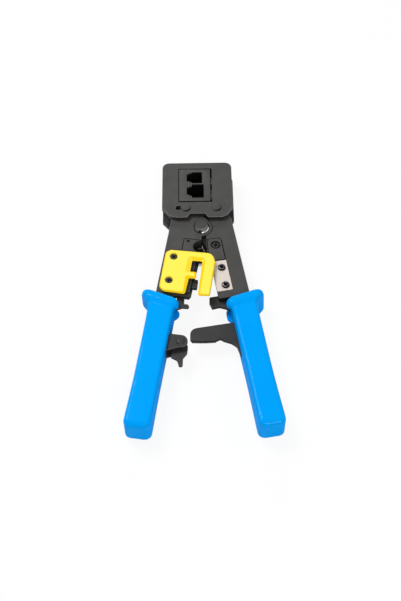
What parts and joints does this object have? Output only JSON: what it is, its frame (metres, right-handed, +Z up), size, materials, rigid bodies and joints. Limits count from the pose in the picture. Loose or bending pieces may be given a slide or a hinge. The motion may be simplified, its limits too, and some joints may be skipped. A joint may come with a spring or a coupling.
{
  "type": "crimping tool",
  "caption": "Two-handled crimping tool for modular plugs with a plug die head, guarded cable cutter, stripper and ratchet handles.",
  "frame": {"origin": "on the pivot bolt's axis, in the plane of the underside that the tool lies on", "axes": "+Y along the tool's middle line towards the head, +X across the tool, +Z up through the head's thickness"},
  "size_m": [0.092, 0.2016, 0.0193],
  "materials": {
    "black_steel": "satin black finish",
    "dark_plate": "satin black finish, bead blasted",
    "black_fastener": "black oxide",
    "tool_steel": "ground steel",
    "blade_steel": "ground and honed",
    "spring_steel": "drawn wire",
    "blue_grip": "smooth moulded, slight gloss",
    "yellow_guard": "moulded, slight gloss"
  },
  "bodies": {
    "head": {"head_body": "black_steel", "head_rear_plate": "black_steel", "head_screws": "black_fastener", "die_block": "dark_plate", "die_screws": "black_fastener", "right_head_pin": "black_fastener"},
    "ram": {"ram_plate": "tool_steel", "punch_holder": "tool_steel", "holder_pins": "tool_steel", "contact_punch_8p": "tool_steel", "contact_punch_6p": "tool_steel", "relief_punches": "tool_steel", "trim_blade": "blade_steel", "trim_blade_screws": "black_fastener"},
    "right_lever": {"right_lever_front_plate": "dark_plate", "right_lever_rear_plate": "dark_plate", "pivot_bolt": "black_fastener", "pivot_nut": "black_fastener", "pivot_bush": "tool_steel", "blade_backing_plate": "dark_plate", "backing_plate_screw": "black_fastener", "cutter_blade": "blade_steel", "cutter_blade_screws": "black_fastener", "right_stripper_block": "black_steel", "ratchet_arm": "black_steel", "right_lever_rivets": "tool_steel", "right_grip": "blue_grip", "right_spring_peg": "tool_steel"},
    "left_lever": {"left_lever_front_plate": "dark_plate", "left_lever_rear_plate": "dark_plate", "left_slide_pin": "black_fastener", "anvil_cover_plate": "dark_plate", "cutter_anvil": "black_steel", "blade_guard": "yellow_guard", "guard_screws": "black_fastener", "left_stripper_hook": "black_steel", "left_lever_spacers": "tool_steel", "left_lever_rivets": "tool_steel", "pawl_bracket": "black_steel", "pawl_pin": "black_fastener", "pawl_spring": "spring_steel", "left_grip": "blue_grip", "opening_spring": "spring_steel", "left_spring_peg": "tool_steel"},
    "pawl": {"pawl": "black_steel"}
  },
  "joints": [
    {"name": "handles_close", "type": "hinge", "parent": "head", "child": "right_lever", "pos_m": [0.01015, 0.0143, 0.0094], "axis": [0, 0, -1], "range_deg": [0, 6.6], "stiffness_Nm_per_rad": 0.6, "springref_deg": -34.38},
    {"name": "left_lever_turn", "type": "hinge", "parent": "right_lever", "child": "left_lever", "pos_m": [0, 0, 0.0094], "axis": [0, 0, 1], "range_deg": [0, 13.2], "deforming": ["opening_spring"]},
    {"name": "ram_slide", "type": "slide", "parent": "head", "child": "ram", "axis": [-1, 0, 0], "range_m": [0, 0.00315]},
    {"name": "pawl_release", "type": "hinge", "parent": "left_lever", "child": "pawl", "pos_m": [-0.01383, -0.08751, 0.0094], "axis": [0, 0, -1], "range_deg": [-4, 16], "stiffness_Nm_per_rad": 0.004}
  ],
  "couplings": [
    {"joint": "left_lever_turn", "follows": "handles_close", "ratio": 2},
    {"joint": "ram_slide", "follows": "handles_close", "m_per_rad": 0.027369}
  ]
}
